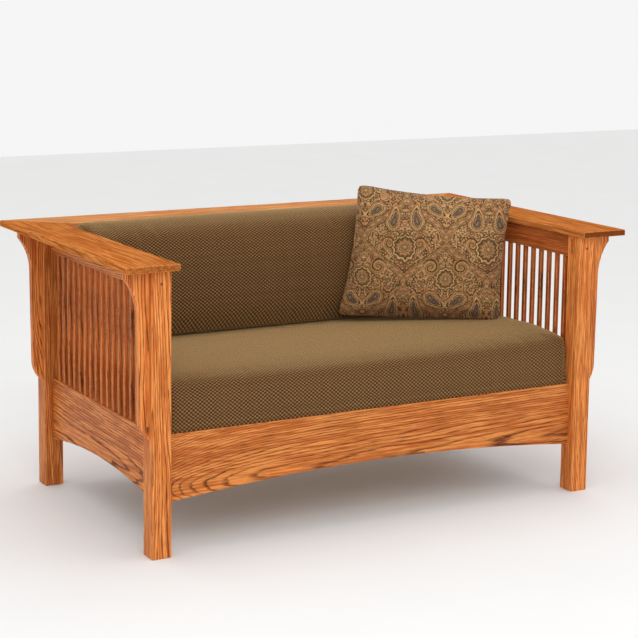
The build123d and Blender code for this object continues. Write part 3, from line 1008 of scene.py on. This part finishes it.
@dataclass(frozen=True)
class PaisleyTapestry:
    """Tapestry cloth with mirrored curling drops, palmettes and small rosettes."""

    ground: Colour = (0.500, 0.245, 0.100)
    pale: Colour = (0.610, 0.355, 0.155)
    outline: Colour = (0.060, 0.034, 0.010)
    sage: Colour = (0.170, 0.118, 0.040)
    rose: Colour = (0.300, 0.105, 0.056)
    violet: Colour = (0.180, 0.120, 0.090)
    repeat: tuple[float, float] = (0.250, 0.270)

    def material(self, name: str) -> Material:
        """Make the cloth of the pillow, laid out in its own plane.

        Args:
            name: The material's name.

        Returns:
            The material.
        """
        shader = Shader(name)
        x, y, z = shader.split(shader.place())
        sway = shader.split(shader.noise(x * 12, y * 12, z * 4, 2.0, 1))
        x = x + (sway[0] - 0.5) * 0.022
        y = y + (sway[1] - 0.5) * 0.022
        wide, tall = self.repeat
        across = abs(((x / wide + 0.18).fraction() - 0.5) * wide)
        rise = (y / tall + 0.10).fraction() * tall
        beyond = wide / 2 - across
        shifted = (y / tall + 0.60).fraction() * tall
        tendril = shader.noise(across * 62, y * 62, 12.0, 1.5)
        colour = shader.lay(self.ground, [
            *self.scrolls(across, y),
            *self.arch(across, rise),
            *self.curl(across - 0.046, rise - 0.186, 0.026),
            *self.curl(beyond - 0.044, shifted - 0.120, 0.022),
            *self.drop((across, rise), (0.042, 0.092), 2.35, 0.0145),
            *self.drop((beyond, shifted), (0.036, 0.184), 0.40, 0.0150),
            *self.palmette(across, rise - 0.150, 0.025),
            *self.palmette(beyond, shifted - 0.108, 0.030),
            ((tendril * 50).sine().step(0.45, 0.85) * 0.50, self.outline),
        ])
        pick = shader.noise(x * 900, y * 900, z * 60, 2.0)
        rib = ((x * 5200).sine() * (y * 4600).sine()) * 0.5 + 0.5
        colour = shader.brighten(colour, (pick - 0.5) * 0.9 + rib * 0.16 + 0.92)
        return shader.finish({
            "Base Color": colour,
            "Roughness": 0.90 - pick * 0.12,
            "Normal": shader.bump(rib * 0.6 + pick * 0.4, 0.0005, 0.7),
            "Sheen Weight": 0.12,
            "Sheen Roughness": 0.5,
            "Sheen Tint": (0.9, 0.7, 0.5),
            "Specular IOR Level": 0.1,
        })

    def scrolls(self, x: Wire, y: Wire) -> Layers:
        """The ground: small ringed rosettes among winding lines.

        Args:
            x: Place across.
            y: Place up.

        Returns:
            Its layers.
        """
        shader = x.shader
        cloud = shader.noise(x * 20, y * 20, 0.0, 2.0)
        wind = shader.noise(x * 46, y * 46, 3.0, 1.5)
        fine = shader.noise(x * 95, y * 95, 8.0, 1.0)
        settings = {"voronoi_dimensions": "2D"}
        values = {"Vector": shader.join(x, y, 0.0), "Scale": 66.0, "Randomness": 0.9}
        away = shader.node("TexVoronoi", settings, values, "Distance")
        cell = shader.split(shader.node("TexVoronoi", settings, values, "Color"))
        tint = shader.lay(self.sage, [
            (cell[0].step(0.45, 0.55), self.rose),
            (cell[2].step(0.55, 0.65), self.pale),
        ])
        petals = away + (wind * 90).sine() * 0.05
        shown = cell[1].step(0.08, 0.18)
        return [
            (cloud.step(0.35, 0.65), self.pale),
            ((fine * 34).sine().step(0.20, 0.80) * 0.55, self.rose),
            ((wind * 42).sine().step(0.30, 0.75) * 0.85, self.outline),
            (petals.within(0.30, 0.36) * shown * 0.75, tint),
            (petals.band(0.36, 0.03, 0.05) * shown * 0.80, self.outline),
            (petals.band(0.20, 0.02, 0.04) * shown * 0.60, self.outline),
            (away.within(0.09, 0.13) * shown, self.pale),
        ]

    def arch(self, across: Wire, rise: Wire) -> Layers:
        """Swelling bands that meet in points, with echoed lines on both sides.

        Args:
            across: Distance from the repeat's middle.
            rise: Height in the repeat.

        Returns:
            Their layers.
        """
        wide, tall = self.repeat
        turn = rise * (2 * math.pi / tall)
        middle = (1 - (turn + math.pi / 2).sine()) * (wide / 4)
        slope = turn.sine() * (wide / 4 * 2 * math.pi / tall)
        away = abs(across - middle) / (slope * slope + 1).root()
        beads = (rise * 420).sine().step(-0.4, 0.4)
        return [
            (away.band(0.0118, 0.0006, 0.0012) * 0.85, self.outline),
            (away.within(0.0084, 0.0104) * 0.40, self.pale),
            (away.band(0.0070, 0.0006, 0.0010) * 0.8, self.outline),
            (away.within(0.0052, 0.0060) * 0.6, self.ground),
            (away.within(0.0022, 0.0032) * beads * 0.8, self.sage),
            (away.band(0.0042, 0.0004, 0.0008) * 0.8, self.rose),
        ]

    def curl(self, across: Wire, rise: Wire, radius: float) -> Layers:
        """A tendril that winds in on itself.

        Args:
            across: Place across from its middle.
            rise: Height above its middle.
            radius: How far it reaches.

        Returns:
            Its layers.
        """
        size = (across * across + rise * rise).root() / radius
        winding = (rise.angle(across) / (2 * math.pi) + size.root() * 2.3).fraction()
        inside = size.within(0.96, 1.02)
        return [
            (inside * 0.9, self.ground),
            (winding.band(0.78, 0.08, 0.08) * inside * 0.8, self.sage),
            (winding.band(0.40, 0.10, 0.09) * inside * 0.95, self.outline),
        ]

    def drop(self, at: tuple[Wire, Wire], centre: Place, turn: float, fat: float) -> Layers:
        """One long curling drop with echoed outlines and a beaded edge.

        Args:
            at: The place across and up.
            centre: The middle of the drop's round end.
            turn: How far its tip is turned from upright, in radians.
            fat: The radius of its round end.

        Returns:
            Its layers.
        """
        shader = at[0].shader
        across, rise = at[0] - centre[0], at[1] - centre[1]
        side = across * math.cos(turn) + rise * math.sin(turn)
        up = rise * math.cos(turn) - across * math.sin(turn)
        over = up.higher(0.0) / fat
        side = side - over * over * (fat * 0.10)
        long = up.lower(0.0) + up.higher(0.0) * 0.24
        size = (side * side + long * long).root() / fat * (over * 0.16 + 1)
        lobes = (side.angle(up) * 18).sine()
        warp = shader.noise(at[0] * 90, at[1] * 90, 6.0, 1.0) - 0.5
        ripple = size + lobes * 0.035 + warp * 0.30
        fleck = shader.noise(at[0] * 300, at[1] * 300, 2.0, 1.0).step(0.45, 0.55)
        stops = [
            (0.00, self.rose), (0.12, self.pale), (0.18, self.violet), (0.62, self.violet),
            (0.66, self.outline), (0.72, self.pale), (0.82, self.ground), (0.88, self.outline),
            (1.00, self.outline),
        ]
        fill = shader.lay(shader.node("ValToRGB", {"stops": stops}, {0: ripple}), [
            (fleck * size.within(0.55, 0.62) * 0.75, self.outline),
            (lobes.step(0.1, 0.6) * size.band(0.77, 0.03, 0.03), self.sage),
        ])
        return [
            (ripple.band(1.62, 0.04, 0.05) * 0.85, self.outline),
            (ripple.within(1.48, 1.54) * 0.9, self.ground),
            (ripple.band(1.30, 0.03, 0.05) * 0.8, self.sage),
            (ripple.within(1.12, 1.18), self.pale),
            (ripple.within(0.98, 1.01), fill),
        ]

    def palmette(self, across: Wire, rise: Wire, radius: float) -> Layers:
        """A fanned rosette with lobed petals in rings.

        Args:
            across: Place across from its middle.
            rise: Height above its middle.
            radius: Its radius.

        Returns:
            Its layers.
        """
        shader = across.shader
        petals = (across.angle(rise) * 6).sine()
        warp = shader.noise(across * 80, rise * 80, 4.0, 1.5) - 0.5
        tall = rise * 0.80
        size = (across * across + tall * tall).root() / radius + abs(petals) * 0.15 + warp * 0.32
        stops = [
            (0.00, self.rose), (0.20, self.pale), (0.29, self.outline), (0.34, self.sage),
            (0.48, self.ground), (0.58, self.outline), (0.62, self.pale), (0.74, self.rose),
            (0.84, self.sage), (0.95, self.outline), (1.00, self.outline),
        ]
        fill = shader.node("ValToRGB", {"stops": stops}, {0: size})
        return [
            (size.band(1.22, 0.04, 0.05) * 0.8, self.outline),
            (size.within(1.14, 1.20) * 0.85, self.pale),
            (size.within(0.99, 1.03), fill),
        ]


@dataclass
class ThrowPillow:
    """The knife-edged pillow that leans in the right corner."""

    name: str = "throw_pillow_cover"
    width: float = 0.510
    left_height: float = 0.420
    right_height: float = 0.385
    left_slump: float = 0.052
    right_slump: float = 0.030
    thickness: float = 0.150
    seam: float = 0.004
    side_draw: float = 0.014
    tip_round: float = 0.008
    tip_power: int = 14
    rim_power: float = 2.6
    fullness_power: float = 0.62
    pucker: float = 0.0045
    pucker_fade: float = 0.055
    fold: float = 1.5
    turn: float = 34.5
    lean: float = 12.0
    columns: int = 76
    rows: int = 60
    stuffing: Stuffing = Stuffing(voxel=0.005, pressure=4.0, reach=0.006)

    def at(self, u: float, v: float) -> Place:
        """A point of the slumped outline's inside.

        Args:
            u: Share of the width, from minus one to one.
            v: Share of the height, from zero to one.

        Returns:
            The point in the pillow's plane.
        """
        half = self.width / 2
        foot_left, foot_right = Vector((-half, 0)), Vector((half, 0))
        top_left = Vector((-half + self.left_slump, self.left_height))
        top_right = Vector((half + self.right_slump, self.right_height))
        s = (u + 1) / 2
        rise = 2 * v - 1
        point = (foot_left * (1 - s) + foot_right * s) * (1 - v)
        point = point + (top_left * (1 - s) + top_right * s) * v
        middle = point.x - (self.left_slump - self.right_slump) / 2 * v
        tip = (u * rise) ** self.tip_power * self.tip_round
        draw_side = self.side_draw * (1 - rise ** 2) * u + tip * math.copysign(1, middle)
        draw_top = self.side_draw * (1 - u * u) * v * v + tip * math.copysign(1, v - 0.5)
        return point.x - draw_side, point.y - draw_top

    def bulge(self, u: float, v: float) -> float:
        """How far one side stands out from the pillow's plane.

        Args:
            u: Share of the width, from minus one to one.
            v: Share of the height, from zero to one.

        Returns:
            The distance.
        """
        across, up = abs(u) ** self.rim_power, abs(2 * v - 1) ** self.rim_power
        fullness = ((1 - across) * (1 - up)) ** self.fullness_power
        return self.seam / 2 + (self.thickness - self.seam) / 2 * fullness

    def build(self) -> Piece:
        """Make the cover, fill it and lean it in its corner.

        Returns:
            The pillow.
        """
        columns, rows = self.columns, self.rows
        points: list[Point] = []
        for side in (1, -1):
            for i in range(columns + 1):
                for j in range(rows + 1):
                    u = math.sin(math.pi / 2 * (2 * i / columns - 1))
                    v = (math.sin(math.pi / 2 * (2 * j / rows - 1)) + 1) / 2
                    x, y = self.at(u, v)
                    points.append((x, y, side * self.bulge(u, v)))
        faces: list[tuple[int, ...]] = []
        column = rows + 1
        per_side = (columns + 1) * column
        for i in range(columns):
            for j in range(rows):
                here = i * column + j
                quad = (here, here + column, here + column + 1, here + 1)
                faces.append(quad)
                faces.append(tuple(point + per_side for point in reversed(quad)))
        rim = [i * column for i in range(columns)]
        rim += [columns * column + j for j in range(rows)]
        rim += [i * column + rows for i in range(columns, 0, -1)]
        rim += list(range(rows, 0, -1))
        for here, after in zip(rim, rim[1:] + rim[:1]):
            faces.append((here + per_side, after + per_side, after, here))
        piece = from_points(self.name, points, faces)
        plump(piece, self.stuffing)
        smooth(piece, 1)
        self.gather(piece)
        self.lean_in_corner(piece)
        return piece

    def waves(self, along: np.ndarray, away: np.ndarray, fine: float, drift: float) -> np.ndarray:
        """Small uneven waves along a seam, so many radians per metre, fading away from it."""
        uneven = np.sin(along * fine + 2.0 * np.sin(along * drift))
        return uneven * np.exp(-away / self.pucker_fade)

    def gather(self, piece: Piece) -> None:
        """Pucker the cover along its seam, fading towards the middle.

        Args:
            piece: The pillow, in its own plane.
        """
        points = read_points(piece.data)
        x, y, z = points.T
        low, high = points.min(0), points.max(0)
        from_side = np.minimum(x - low[0], high[0] - x)
        from_end = np.minimum(y - low[1], high[1] - y)
        ripple = self.waves(y, from_side, 210, 37) + self.waves(x, from_end, 190, 31)
        fold = np.sin(x * 21 + y * 13 + 1.1) * np.sin(y * 17 - x * 9)
        fullness = np.abs(z) / (self.thickness / 2)
        raised = self.pucker * ripple + self.pucker * self.fold * fold
        points[:, 2] = z + np.sign(z) * fullness * raised
        write_points(piece.data, points)

    def lean_in_corner(self, piece: Piece) -> None:
        """Turn the pillow and put it where its solid stands.

        Args:
            piece: The pillow, in its own plane.
        """
        turned = Matrix.Rotation(math.radians(-self.turn), 4, "Z")
        leaned = Matrix.Rotation(math.radians(90 - self.lean), 4, "X")
        pose = turned @ leaned
        placed = read_points(piece.data) @ np.array(pose.to_3x3()).T
        low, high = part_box("throw_pillow")
        centre = (np.array(low) + np.array(high)) / 2
        shift = Vector(centre - (placed.min(0) + placed.max(0)) / 2)
        piece.matrix_world = Matrix.Translation(shift) @ pose


@dataclass
class TimberFrame:
    """The oak frame, its deck and its fixings, dressed as cut boards."""

    slat_width: float = 0.012
    peg_radius: float = 0.004
    dressed: int = 0

    def dress(self, node: str, material: Material) -> None:
        """Give a node its finish.

        Args:
            node: The node's name.
            material: The finish.
        """
        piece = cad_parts[node]
        piece.data.materials.clear()
        piece.data.materials.append(material)
        self.dressed += 1
        log.info("%s dressed in %s", node, material.name)

    def board(self, node: str, oak: StainedOak, row: Row | None = None) -> None:
        """Dress one node in oak, as one board or as a row of slats."""
        low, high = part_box(node)
        self.dress(node, oak.material("oak_" + node, low, high, row))

    def posts(self) -> None:
        """Dress the posts and their corbels."""
        cuts = (
            ("front_left", (0.05, 0.09), 2.0, 1.16, 1.30),
            ("front_right", (-0.08, 0.07), 14.0, 1.20, 1.13),
            ("back_left", (0.06, -0.08), 21.0, 1.00, 1.10),
            ("back_right", (-0.06, -0.09), 27.0, 1.00, 1.10),
        )
        for number, (corner, heart, seed, tone, corbel_tone) in enumerate(cuts):
            self.board(corner + "_post", StainedOak(Grain.ALONG_Z, heart, seed=seed, tone=tone))
            self.board(corner + "_corbel", StainedOak(
                Grain.ALONG_Z, (0.04, 0.05), seed=31.0 + 5 * number, tone=corbel_tone,
            ))

    def caps(self) -> None:
        """Dress the flat caps."""
        # The caps' lowered tones are painted shade, keeping the lamp-lit tops no brighter than the
        # front faces
        sides = (("left", 0.09, 51.0, 0.87, 0.34), ("right", -0.09, 57.0, 0.85, 0.84))
        for side, heart, seed, tone, end_stain in sides:
            self.board(side + "_arm_cap", StainedOak(
                Grain.ALONG_Y, (heart, -0.05), ring=0.0050, seed=seed, tone=tone,
                end_stain=end_stain, gloss=0.0, contrast=0.62,
            ))
        self.board("back_cap", StainedOak(
            Grain.ALONG_X, (0.06, -0.06), seed=61.0, gloss=0.0, contrast=0.50,
            light=(0.700, 0.330, 0.135), warm=(0.560, 0.210, 0.070),
        ))

    def rails(self) -> None:
        """Dress the seat rails and the top rails."""
        along_x, along_y = Grain.ALONG_X, Grain.ALONG_Y
        cuts = {
            "front_seat_rail": StainedOak(
                along_x, (0.052, -0.052), ring=0.0062, seed=71.0,
                sway=0.45, flame=0.045, flame_length=0.15,
            ),
            "back_seat_rail": StainedOak(along_x, (-0.06, -0.05), seed=75.0),
            "left_seat_rail": StainedOak(along_y, (0.06, -0.04), ring=0.0058, seed=81.0),
            "right_seat_rail": StainedOak(along_y, (-0.06, -0.03), seed=85.0),
            "left_top_rail": StainedOak(along_y, (0.06, 0.03), seed=91.0, tone=0.95),
            # The lower tone and darker, redder colours here are painted shade on the rail's shaded
            # inner face
            "right_top_rail": StainedOak(
                along_y, (-0.05, 0.10), seed=95.0, tone=0.86, contrast=0.7,
                light=(0.660, 0.180, 0.042), warm=(0.450, 0.104, 0.021),
            ),
            "back_top_rail": StainedOak(along_x, (0.06, 0.02), seed=99.0),
        }
        for node, oak in cuts.items():
            self.board(node, oak)

    def slats(self) -> None:
        """Dress the three rows of slats."""
        width = self.slat_width
        rows = (
            # The right row's tone of 0.72 is painted shade, since these slats are seen from inside
            # in shade
            ("left_slats", 1, 17, 1.0), ("right_slats", 1, 17, 0.72), ("back_slats", 0, 32, 1.0),
        )
        for node, axis, count, tone in rows:
            low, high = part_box(node)
            pitch = (high[axis] - low[axis] - width) / (count - 1)
            oak = StainedOak(
                Grain.ALONG_Z, (0.03, 0.05), seed=110.0 + count, tone=tone,
                light=(0.660, 0.170, 0.038), warm=(0.420, 0.092, 0.018),
            )
            self.board(node, oak, Row(axis, low[axis] + width / 2, pitch, width))

    def fixings(self) -> None:
        """Dress pegs, dowels, tongues, the deck and its screws."""
        radius = self.peg_radius
        for node, grain in (("post_pegs", Grain.ALONG_Y), ("cap_dowels", Grain.ALONG_Z)):
            low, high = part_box(node)
            middle = (low + high) / 2
            left = Vector((low.x + radius, middle.y, middle.z))
            right = Vector((high.x - radius, middle.y, middle.z))
            self.dress(node, PegWood().material("peg_" + node, grain, (left, right), radius))
        pale = [
            ("corbel_tongues", Grain.ALONG_Z, 0.0), ("cap_tongues", Grain.ALONG_Z, 3.0),
            ("mitre_splines", Grain.ALONG_X, 6.0), ("front_cleat", Grain.ALONG_X, 9.0),
            ("back_cleat", Grain.ALONG_X, 12.0),
        ]
        for number in range(1, 13):
            pale.append((f"deck_slat_{number:02d}", Grain.ALONG_Y, 20.0 + 4 * number))
        for node, grain, seed in pale:
            low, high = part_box(node)
            self.dress(node, PlainWood(grain, seed).material("plain_" + node, low, high))
        self.dress("cleat_screws", ZincSteel().material("zinc_steel"))

    def build(self) -> None:
        """Dress every piece of the frame."""
        self.posts()
        self.caps()
        self.rails()
        self.slats()
        self.fixings()
        log.info("frame: %d nodes dressed", self.dressed)


@dataclass
class Studio:
    """A pale floor, soft light and the camera at the photograph's angle."""

    eye: tuple[float, float, float] = (-2.5871, -4.5900, 1.5513)
    yaw: float = 0.517435
    pitch: float = -0.153767
    roll: float = 0.012830
    lens: float = 102.08
    shift: float = -0.12
    reach: float = 9.0

    def floor(self) -> None:
        """Lay the floor."""
        far = self.reach
        corners = [(-far, -far, 0.0), (far, -far, 0.0), (far, far, 0.0), (-far, far, 0.0)]
        ground = from_points("floor", corners, [(0, 1, 2, 3)])
        shader = Shader("floor_paint")
        x, y, z = shader.split(shader.place())
        spot = shader.noise(x * 3, y * 3, z, 3.0)
        colour = shader.brighten((0.86, 0.86, 0.855), spot * 0.04 + 0.98)
        ground.data.materials.append(shader.finish({"Base Color": colour, "Roughness": 0.8}))

    def lamp(self, name: str, place: tuple[float, float, float], size: float, power: float) -> None:
        """Hang one soft lamp that points at the settle.

        Args:
            name: The lamp's name.
            place: Where it hangs.
            size: Its side.
            power: Its power in watts.
        """
        light = bpy.data.lights.new(name, "AREA")
        light.size = size
        light.energy = power
        lamp = bpy.data.objects.new(name, light)
        lamp.location = place
        aim = Vector((0, 0, 0.4)) - Vector(place)
        lamp.rotation_euler = aim.to_track_quat("-Z", "Y").to_euler()
        bpy.context.scene.collection.objects.link(lamp)

    def lights(self) -> None:
        """Fill the room with soft light."""
        world = bpy.data.worlds.new("soft_room")
        world.use_nodes = True
        background = world.node_tree.nodes["Background"]
        background.inputs[0].default_value = (1.0, 1.0, 1.0, 1.0)
        background.inputs[1].default_value = 0.92
        bpy.context.scene.world = world
        bpy.context.scene.view_settings.view_transform = "Standard"
        self.lamp("key", (-1.6, -3.6, 3.0), 2.2, 42.0)
        self.lamp("fill", (3.0, -3.0, 2.2), 2.5, 9.0)
        self.lamp("top", (0.0, 0.3, 3.4), 2.8, 16.0)

    def camera(self) -> None:
        """Stand the camera where the photograph was taken."""
        lens = bpy.data.cameras.new("view")
        lens.lens = self.lens
        lens.sensor_width = 36.0
        lens.shift_y = self.shift
        eye = bpy.data.objects.new("view", lens)
        level = Vector((math.sin(self.yaw), math.cos(self.yaw), 0))
        right = Vector((math.cos(self.yaw), -math.sin(self.yaw), 0))
        up = Vector((0, 0, 1))
        ahead = level * math.cos(self.pitch) + up * math.sin(self.pitch)
        up = right.cross(ahead)
        turned_right = right * math.cos(self.roll) + up * math.sin(self.roll)
        turned_up = up * math.cos(self.roll) - right * math.sin(self.roll)
        turn = Matrix((turned_right, turned_up, -ahead)).transposed().to_4x4()
        eye.matrix_world = Matrix.Translation(Vector(self.eye)) @ turn
        bpy.context.scene.collection.objects.link(eye)
        bpy.context.scene.camera = eye

    def build(self) -> None:
        """Set up floor, light and camera."""
        self.floor()
        self.lights()
        self.camera()
        log.info("studio ready")


def place_soft(piece: Piece, node: str, body: str) -> None:
    """Let a soft piece stand for its solid and move with its body.

    Args:
        piece: The cushion or pillow.
        node: The node that it replaces.
        body: The body that it rides on.
    """
    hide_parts(node)
    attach(piece, body)
    log.info("%s stands for %s, %d points", piece.name, node, len(piece.data.vertices))


def main() -> None:
    """Build the settle and its studio."""
    logging.basicConfig(level=logging.INFO, format="%(name)s: %(message)s")
    TimberFrame().build()
    weave = BasketWeave()
    cushions = (
        (SeatCushion(), "basket_weave_seat", "seat_cushion_body", 0.85),
        (BackCushion(), "basket_weave_back", "back_cushion_body", 0.80),
    )
    for cushion, cloth, body, fill in cushions:
        piece = cushion.build()
        piece.data.materials.append(weave.material(cloth, cushion.panel()))
        place_soft(piece, cushion.node, body)
    pillow = ThrowPillow().build()
    pillow.data.materials.append(PaisleyTapestry().material("paisley_tapestry"))
    place_soft(pillow, "throw_pillow", "pillow_body")
    Studio().build()


if __name__ == "__main__":
    main()
